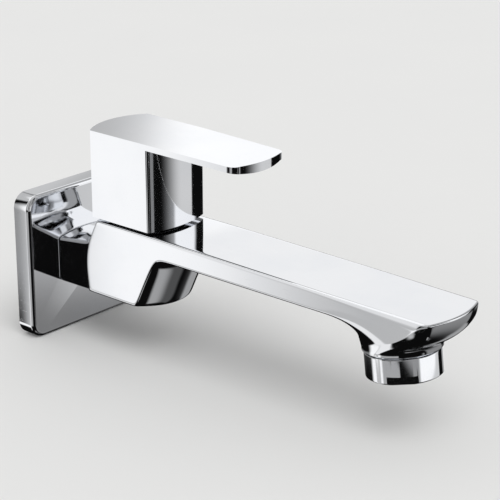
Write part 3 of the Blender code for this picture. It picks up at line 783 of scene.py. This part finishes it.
def make_lever():
    """A hub with two flats under a thin plate whose underside is crowned, lofted from side to side."""
    loops = []
    for x in lever_stations():
        back = LEVER_BACK_Y - LEVER_BACK_ARC + math.sqrt(LEVER_BACK_ARC**2 - x**2)
        hub = front_edge(x, HUB_FRONT_Y, HUB_FRONT_ARC, HUB_CORNER)
        front = front_edge(x, PLATE_FRONT_Y, PLATE_FRONT_ARC, PLATE_CORNER)
        under = LEVER_TOP - PLATE_SIDE_THICK - PLATE_CROWN * (1 - (x / LEVER_HALF) ** 2)
        loops.append([
            lever_point(x, back, LEVER_TOP, True),
            lever_point(x, hub, LEVER_TOP, True),
            lever_point(x, front, LEVER_TOP, True),
            lever_point(x, front, under, True),
            lever_point(x, hub, under, True),
            lever_point(x, hub, HUB_BOTTOM, False),
            lever_point(x, back, HUB_BOTTOM, False),
        ])
    points, faces = loft(loops)
    handle = raw_object("lever_handle_fine", points, faces, VALVE_PLACE)
    screw_place = VALVE_PLACE @ lift(SCREW_HEIGHT) @ ALONG_Y
    cut(
        handle,
        turned("hub_cavity", [
            (CAVITY_RADIUS, HUB_BOTTOM - 1), (CAVITY_RADIUS, CAVITY_TOP),
            (INSERT_BORE, CAVITY_TOP + 0.01), (INSERT_BORE, INSERT_BORE_TOP),
        ], VALVE_PLACE),
        turned("screw_access", [(ACCESS_BORE, 17.4), (ACCESS_BORE, 25.0)], screw_place, FEW_SEGMENTS),
        turned("screw_bore", [(SCREW_BORE, 5.0), (SCREW_BORE, 18.0)], screw_place, FEW_SEGMENTS),
    )
    finish_piece(handle, "lever_handle", "lever", edge=LEVER_EDGE)
    plug = turned("screw_plug_fine", [
        (2.6, 18.0), (3.2, 18.4), (3.2, 20.6), (3.1, 20.95), (2.9, 21.2), (2.6, 21.3),
    ], screw_place, FEW_SEGMENTS)
    finish_piece(plug, "screw_plug", "lever")


# ---------------------------------------------------------------- outlet

def make_aerator():
    """Turned about local Z, which points up into the spout; negative heights are below the joint."""
    foot = RING_FOOT
    ring = turned("aerator_housing_fine", [
        (RING_BORE, RING_NECK), (RING_BORE, foot + 1.2), (RING_BORE - 1.0, foot + 1.2),
        (RING_BORE - 1.0, foot + 0.2), (RING_BORE - 0.8, foot), (RING_RADIUS - 0.6, foot),
        (RING_RADIUS - 0.25, foot + 0.12), (RING_RADIUS - 0.06, foot + 0.3), (RING_RADIUS, foot + 0.6),
        (RING_RADIUS, -0.75), (RING_RADIUS - 0.08, -0.5), (RING_RADIUS - 0.3, -0.34),
        (RING_RADIUS - 0.6, -0.3), (RING_THREAD, -0.3), (RING_THREAD, RING_NECK),
    ], OUTLET_PLACE, RING_SEGMENTS, ring=True)
    depth = math.sqrt(RING_RADIUS**2 - (FLAT_CHORD / 2) ** 2)
    flats = []
    for side, turn in (("front", 0.0), ("back", math.pi)):
        place = OUTLET_PLACE @ Matrix.Rotation(FLAT_DIRECTION + turn, 4, "Z")
        low, high = (depth, -10, foot - 1), (depth + 5, 10, foot + FLAT_HEIGHT)
        flats.append(block(f"spanner_flat_{side}", low, high, place))
    cut(ring, *flats)
    finish_piece(ring, "aerator_housing", "tap")


def make_aerator_insides():
    """The washer, wire screen, jet cage and honeycomb outlet inside the ring."""
    reach, foot = RING_BORE - GAP, RING_FOOT
    washer_profile = ring_profile(11.2, 13.4, RING_NECK + GAP, 8.8)
    washer = turned("aerator_washer_fine", washer_profile, OUTLET_PLACE, ring=True)
    finish_piece(washer, "aerator_washer", "tap", edge=0.25)
    screen = turned("aerator_screen_fine", [
        (2.0, 7.9), (reach - 3.4, 7.2), (reach - 1.2, 6.2), (reach, 6.2),
        (reach, 7.0), (reach - 3, 8.0), (2.0, 8.7),
    ], OUTLET_PLACE)
    finish_piece(screen, "aerator_screen", "tap", edge=0.1)
    cage = turned("aerator_cage_fine", [
        (reach - 1.3, 5.8), (reach, 5.8), (reach, -4.4), (reach - 1.3, -4.4),
        (reach - 1.3, 0.0), (3.0, 0.0), (3.0, 1.4), (reach - 1.3, 1.4),
    ], OUTLET_PLACE, ring=True)
    holes = []
    for i in range(JET_HOLES):
        a = math.radians(360 / JET_HOLES * i + 7)
        offset = Vector((JET_CIRCLE * math.cos(a), JET_CIRCLE * math.sin(a), 0)) * MM
        place = OUTLET_PLACE @ Matrix.Translation(offset)
        holes.append(turned(f"jet_hole_{i}", [(1.5, -1), (1.5, 3)], place, 32))
    cut(cage, *holes)
    finish_piece(cage, "aerator_cage", "tap", edge=0.12)
    grille = turned("aerator_grille_fine", [(reach, foot + 1.5), (reach, -4.8)], OUTLET_PLACE)
    points, faces = [], []
    rows = range(-6, 7)
    for row in rows:
        for column in rows:
            x = GRILLE_PITCH * (column + 0.5 * (row % 2))
            y = GRILLE_PITCH * row * math.sqrt(3) / 2
            if math.hypot(x, y) > GRILLE_REACH:
                continue
            cell = [circle(GRILLE_CELL, z, 6, math.pi / 6) for z in (foot, -3.0)]
            new_points, new_faces = loft([[(x + p, y + q, z) for p, q, z in loop] for loop in cell])
            faces += [[index + len(points) for index in face] for face in new_faces]
            points += new_points
    cut(grille, raw_object("grille_cells", points, faces, OUTLET_PLACE))
    finish_piece(grille, "aerator_grille", "tap")


# ---------------------------------------------------------------- valve

def make_housing():
    """Brass headwork: sleeve with side windows, thread, hexagon with chamfered corners and spindle guide."""
    bore, disc_bore = SHAFT_RADIUS + 0.35, DISC_RADIUS + 0.4
    hex_radius = HEX_ACROSS_FLATS / 2 / math.cos(math.pi / 6)
    thread_low, thread_high = CHAMBER_ROOF + 0.7, HEX_BASE + 0.5
    housing = threaded(
        "headwork_housing_fine", HOUSING_THREAD, 0.8, HOUSING_THREAD_PITCH, thread_low - 0.4, thread_high,
        thread_low, VALVE_PLACE)
    sleeve = turned("housing_sleeve", [
        (HOUSING_SLEEVE, HOUSING_FOOT), (HOUSING_SLEEVE - 0.62, thread_low),
    ], VALVE_PLACE)
    neck = turned("housing_neck", [(HOUSING_NECK, thread_high - 1), (HOUSING_NECK, HOUSING_TOP)], VALVE_PLACE)
    hexagon = turned("housing_hexagon", [(hex_radius, HEX_BASE), (hex_radius, HEX_TOP)], VALVE_PLACE, 6)
    trim = turned("hexagon_trim", [
        (HEX_ACROSS_FLATS / 2 - 0.3, HEX_TOP + 0.01), (hex_radius + 1, HEX_TOP - 1.0),
        (hex_radius + 1, HEX_TOP + 1), (HEX_ACROSS_FLATS / 2 - 0.3, HEX_TOP + 1),
    ], VALVE_PLACE, ring=True)
    cut(hexagon, trim)
    for tool in (sleeve, neck, hexagon):
        combine(housing, tool, "UNION")
    bake(housing, [sleeve, neck, hexagon])
    cut(
        housing,
        turned("spindle_guide", [
            (disc_bore, HOUSING_FOOT - 1), (disc_bore, DISC_CHAMBER_ROOF), (bore, DISC_CHAMBER_ROOF + 0.01),
            (bore, HOUSING_TOP + 1),
        ], VALVE_PLACE),
        block("side_windows", (-12, -3.4, 6.6), (12, 3.4, 11.6), VALVE_PLACE),
    )
    finish_piece(housing, "headwork_housing", "tap")


def make_disc(node, base, direction, body):
    """A ceramic disc with two round ports."""
    disc = turned(node + "_fine", [(DISC_RADIUS, base), (DISC_RADIUS, base + DISC_THICK)], VALVE_PLACE)
    ports = []
    for side in (-1, 1):
        offset = Vector((side * PORT_OFFSET * direction[0], side * PORT_OFFSET * direction[1], 0)) * MM
        through = [(PORT_RADIUS, base - 1), (PORT_RADIUS, base + DISC_THICK + 1)]
        place = VALVE_PLACE @ Matrix.Translation(offset)
        ports.append(turned(f"{node}_port_{side}", through, place, FEW_SEGMENTS))
    cut(disc, *ports)
    finish_piece(disc, node, body, edge=0.15)


def make_spindle():
    """A stepped brass shaft with two seal grooves, a clip groove and a splined end."""
    groove = SHAFT_RADIUS - ORING_GROOVE_DEPTH
    foot = FIXED_DISC_BASE + 2 * DISC_THICK + 2 * GAP
    profile = [(DISC_RADIUS - 0.1, foot), (DISC_RADIUS - 0.1, foot + 2.2), (SHAFT_RADIUS, foot + 2.2)]
    for height in sorted(ORING_HEIGHTS.values()):
        low, high = height - 1.15, height + 1.15
        profile += [(SHAFT_RADIUS, low), (groove, low), (groove, high), (SHAFT_RADIUS, high)]
    clip_low, clip_high = CIRCLIP_BASE - GAP, CIRCLIP_BASE + CIRCLIP_THICK + GAP
    profile += [(SHAFT_RADIUS, clip_low), (CIRCLIP_GROOVE, clip_low)]
    profile += [(CIRCLIP_GROOVE, clip_high), (SPLINE_RADIUS, clip_high)]
    profile += [(SPLINE_RADIUS, SPINDLE_TOP - 0.6), (SPLINE_RADIUS - 0.6, SPINDLE_TOP)]
    spindle = turned("spindle_fine", profile, VALVE_PLACE)
    low, high = clip_high + 0.6, SPINDLE_TOP + 1
    count = 4 * SPLINE_TEETH
    inner, outer = [], []
    for i in range(count):
        root = i % 4 in (0, 1)
        radius = (SPLINE_RADIUS + 0.25) * (SPLINE_ROOT if root else 1.0)
        a = 2 * math.pi * i / count
        inner.append((radius * math.cos(a), radius * math.sin(a)))
        outer.append((CUTTER_RADIUS * math.cos(a), CUTTER_RADIUS * math.sin(a)))
    outlines = ((inner, low), (inner, high), (outer, high), (outer, low))
    loops = [[(x, y, z) for x, y in outline] for outline, z in outlines]
    points, faces = loft(loops, capped=False)
    cut(spindle, raw_object("spline_cutter", points, faces, VALVE_PLACE))
    finish_piece(spindle, "spindle", "lever")


def make_valve_rings():
    """Seals, washers and rings round the valve axis."""
    rings = (
        ("housing_washer", HOUSING_THREAD + GAP, 13.2, TOP + GAP, HEX_BASE - GAP, "tap", 0.2),
        ("glide_ring", 14.2, 15.6, TOP + GAP, HUB_BOTTOM - GAP, "tap", 0.12),
        ("seat_seal", 5.2, 7.9, CHAMBER_FLOOR + GAP, FIXED_DISC_BASE - GAP, "tap", 0.4),
        ("friction_washer", SHAFT_RADIUS + GAP, 7.2, HOUSING_TOP + GAP, CIRCLIP_BASE - GAP, "tap", 0.12),
    )
    for node, inner, outer, low, high, body, edge in rings:
        ring = turned(node + "_fine", ring_profile(inner, outer, low, high), VALVE_PLACE, ring=True)
        finish_piece(ring, node, body, edge=edge)
    centre = SHAFT_RADIUS - ORING_GROOVE_DEPTH + GAP + ORING_WIRE
    for node, height in ORING_HEIGHTS.items():
        profile = []
        for i in range(ORING_SEGMENTS):
            a = 2 * math.pi * i / ORING_SEGMENTS
            profile.append((centre + ORING_WIRE * math.cos(a), height + ORING_WIRE * math.sin(a)))
        finish_piece(turned(node + "_fine", profile, VALVE_PLACE, ring=True), node, "lever")
    loops = []
    for i in range(SEGMENTS + 1):
        a = CIRCLIP_HALF_GAP + (2 * math.pi - 2 * CIRCLIP_HALF_GAP) * i / SEGMENTS
        top = CIRCLIP_BASE + CIRCLIP_THICK
        outline = ring_profile(CIRCLIP_GROOVE + 0.35, CIRCLIP_RADIUS, CIRCLIP_BASE, top)
        loops.append([(radius * math.cos(a), radius * math.sin(a), z) for radius, z in outline])
    points, faces = loft(loops)
    finish_piece(raw_object("circlip_fine", points, faces, VALVE_PLACE), "circlip", "lever", edge=0.1)


def make_lever_insides():
    """The splined insert in the hub and the screw that holds it."""
    profile = ring_profile(SPLINE_RADIUS + GAP, INSERT_BORE - GAP, 40.9, 53.0)
    insert = turned("spline_insert_fine", profile, VALVE_PLACE, ring=True)
    cut(insert, block("insert_slot", (-1.0, -7.0, 46.0), (1.0, 0.0, 54.0), VALVE_PLACE))
    finish_piece(insert, "spline_insert", "lever", edge=0.15)
    place = VALVE_PLACE @ lift(SCREW_HEIGHT) @ ALONG_Y
    screw = threaded("grub_screw_fine", SCREW_RADIUS, 0.3, 0.8, 6.4, 14.4, 7.0, place)
    cut(screw, turned("screw_socket", [(1.44, 12.0), (1.44, 15.0)], place, 6))
    finish_piece(screw, "grub_screw", "lever")


# ---------------------------------------------------------------- stage, light and camera

SKY = 0.75
BACKDROP = (0.80, 0.80, 0.79)
DARK = 0.004
FLOOR_HALF = 40.0
FLOOR_DROP = 0.0001
LAMP_POWER = 1.0
LAMP_SPREAD = math.radians(40)
LAMP_TURN = (math.radians(25), math.radians(-20), 0)

# Camera: its place in metres, its axes and its lens in millimetres
CAMERA_PLACE = Vector((-0.49262, -0.53721, 0.29572))
CAMERA_RIGHT = Vector((0.658643, -0.752456, 0.0))
CAMERA_UP = Vector((0.259453, 0.227109, 0.938672))
CAMERA_BACK = Vector((-0.706310, -0.618249, 0.344811))
CAMERA_LENS = 124.47
SENSOR_WIDTH = 36.0

# The studio that the polished metal mirrors. Each panel is (azimuth from, to), (fade at each end),
# (elevation from, to), (fade at each end) and level; a later panel covers an earlier one. Azimuth 0 is +X
# and 90 is +Y, in degrees.
PANELS = (
    # soft fill behind, beside and above the tap, for other viewpoints
    ((60, 118), (14, 8), (-12, 70), (12, 20), 0.55),
    ((-180, -150), (10, 10), (-5, 70), (10, 20), 0.50),
    ((-140, -92), (14, 10), (2, 60), (10, 20), 0.35),
    ((-180, 180), (1, 1), (62, 90), (14, 1), 0.60),
    ((50, 112), (6, 8), (-24, 0), (6, 6), 0.34),
    ((-1, 24), (7, 6), (-23, 40), (5, 10), 0.40),
    ((162, 180), (10, 1), (-2, 70), (8, 20), 0.50),
    ((-150, -112), (8, 6), (-13, 2), (3, 6), 0.32),
    # in front of the tap
    ((-57.5, -26), (30, 2), (-21.4, 60), (6, 20), 0.68),
    ((-54, -20), (5, 8), (6, 42), (6, 8), 1.12),
    ((-86, -80.5), (10, 0.8), (-26, 40), (4, 10), 0.27),
    ((-117, -100), (3, 6), (-14.4, 4), (1.2, 6), 0.32),
    ((-98, -40), (10, 12), (-14.6, 2), (1.2, 6), 1.10),
    # low in front: glow of the table, brightest near its far edge
    ((-72, -7), (10, 4), (-40, -22.5), (34, 3), 0.27),
    ((-127, -45), (8, 14), (-68, -54.5), (4, 3), 0.085),
    ((-127, -97), (8, 40), (-68, -55), (4, 3), 0.38),
    ((-12, 21), (18, 4), (-48, -32.5), (6, 2), 0.36),
    # to the right of the tap and above it
    ((14, 42), (6, 4), (-24, -8), (4, 6), 0.90),
    ((24, 46), (10, 6), (11, 60), (4, 10), 0.97),
    ((35, 43.8), (5, 2.5), (11, 19.5), (2, 1.5), 1.12),
    ((-36, 36), (12, 8), (44, 60), (5, 8), 0.40),
    ((48, 150), (6, 8), (44, 64), (4, 10), 1.12),
    # to the left
    ((118, 131.5), (3, 2), (-21.6, 8), (2.6, 6), 0.33),
    ((129, 152), (6, 6), (-34.5, 40), (4, 12), 0.53),
    ((139, 152), (6, 6), (-12, 56), (14, 10), 0.84),
    ((132.4, 139.5), (4.2, 8), (-24, 44), (2.5, 12), 1.08),
    ((113, 130), (12, 5), (-34.5, -23.2), (2, 1.6), 1.05),
    ((145.6, 157), (1.5, 7), (-27, -21), (2, 1.5), 1.02),
    ((121, 141), (4, 3), (-50, -34), (4, 3), 0.92),
    ((154, 186), (6, 4), (-27, -18.2), (3, 1), 0.42),
    ((182, 206), (4, 2), (-27, -15.5), (3, 1.4), 0.42),
    ((46, 58), (6, 6), (8, 30), (4, 8), 0.62),
)


def add_panel(graph, azimuth, elevation, under, turn_range, turn_fade, rise_range, rise_fade, level):
    """Lays one soft-edged panel over the level beneath it."""
    middle = sum(turn_range) / 2
    half = (turn_range[1] - turn_range[0]) / 2
    turn = graph.math("WRAP", graph.math("SUBTRACT", azimuth, middle), 180.0, -180.0)
    shares = []
    for value, low, high, fades in ((turn, -half, half, turn_fade), (elevation, *rise_range, rise_fade)):
        shares.append(graph.remap(value, low - fades[0] / 2, low + fades[0] / 2))
        shares.append(graph.remap(value, high - fades[1] / 2, high + fades[1] / 2, 1.0, 0.0))
    share = shares[0]
    for other in shares[1:]:
        share = graph.math("MULTIPLY", share, other)
    return graph.node("ShaderNodeMix", {0: share, 2: under, 3: level}, data_type="FLOAT").outputs[0]


def make_world():
    """A pale surround for the camera, an even soft light, and the studio of panels for the polished metal."""
    world = bpy.data.worlds.new("studio")
    bpy.context.scene.world = world
    world.use_nodes = True
    tree = world.node_tree
    tree.nodes.clear()
    graph = Graph(tree)
    ray = graph.node("ShaderNodeLightPath").outputs
    direction = graph.node("ShaderNodeTexCoord").outputs["Generated"]
    parts = graph.node("ShaderNodeSeparateXYZ", {"Vector": direction}).outputs
    azimuth = graph.math("DEGREES", graph.math("ARCTAN2", parts["Y"], parts["X"]))
    elevation = graph.math("DEGREES", graph.math("ARCSINE", parts["Z"]))
    level = DARK
    for panel in PANELS:
        level = add_panel(graph, azimuth, elevation, level, *panel)
    white = (1.0, 1.0, 1.0, 1.0)
    reflected = graph.node("ShaderNodeBackground", {"Color": white, "Strength": level}).outputs[0]
    even = graph.node("ShaderNodeBackground", {"Color": white, "Strength": SKY}).outputs[0]
    pale = graph.node("ShaderNodeBackground", {"Color": (*BACKDROP, 1.0), "Strength": 1.0}).outputs[0]
    soft = graph.node("ShaderNodeMixShader", {0: ray["Is Glossy Ray"], 1: even, 2: reflected}).outputs[0]
    seen = graph.node("ShaderNodeMixShader", {0: ray["Is Camera Ray"], 1: soft, 2: pale}).outputs[0]
    graph.node("ShaderNodeOutputWorld", {"Surface": seen})


def make_floor():
    """A pale paper floor just under the tap, wide enough to fill the view."""
    mesh = bpy.data.meshes.new("floor")
    z = cad_low.z - FLOOR_DROP
    corners = [(-1, -1), (1, -1), (1, 1), (-1, 1)]
    mesh.from_pydata([(FLOOR_HALF * x, FLOOR_HALF * y, z) for x, y in corners], [], [(0, 1, 2, 3)])
    floor = bpy.data.objects.new("floor", mesh)
    bpy.context.scene.collection.objects.link(floor)
    material, graph, shader, place = new_material("floor_paper")
    colour = graph.mix(graph.noise(place, 9.0, 3.0), (0.80, 0.80, 0.79, 1.0), (0.78, 0.78, 0.775, 1.0))
    graph.feed(shader.inputs["Base Color"], colour)
    shader.inputs["Roughness"].default_value = 0.9
    shader.inputs["Specular IOR Level"].default_value = 0.1
    mesh.materials.append(material)
    floor.visible_glossy = False


def make_lights():
    """One broad soft lamp overhead, which only shades; the polished metal doesn't mirror it."""
    lamp = bpy.data.lights.new("overhead_softbox", "SUN")
    lamp.energy = LAMP_POWER
    lamp.angle = LAMP_SPREAD
    item = bpy.data.objects.new("overhead_softbox", lamp)
    item.rotation_euler = LAMP_TURN
    item.visible_glossy = False
    bpy.context.scene.collection.objects.link(item)


def make_camera():
    """Three-quarter view from the left and above, with a long lens."""
    data = bpy.data.cameras.new("camera")
    data.sensor_width = SENSOR_WIDTH
    data.lens = CAMERA_LENS
    camera = bpy.data.objects.new("camera", data)
    axes = Matrix((CAMERA_RIGHT, CAMERA_UP, CAMERA_BACK)).transposed().to_4x4()
    camera.matrix_world = Matrix.Translation(CAMERA_PLACE) @ axes
    data.clip_start = 0.05
    data.clip_end = 200.0
    bpy.context.scene.collection.objects.link(camera)
    bpy.context.scene.camera = camera


make_body()
make_flange()
make_gasket()
make_lever()
make_lever_insides()
make_housing()
make_disc("fixed_disc", FIXED_DISC_BASE, (1, 0), "tap")
make_disc("moving_disc", FIXED_DISC_BASE + DISC_THICK + GAP, (0, 1), "lever")
make_spindle()
make_valve_rings()
make_aerator()
make_aerator_insides()
make_world()
make_floor()
make_lights()
make_camera()
bpy.context.scene.view_settings.view_transform = "Standard"

bpy.context.view_layer.update()
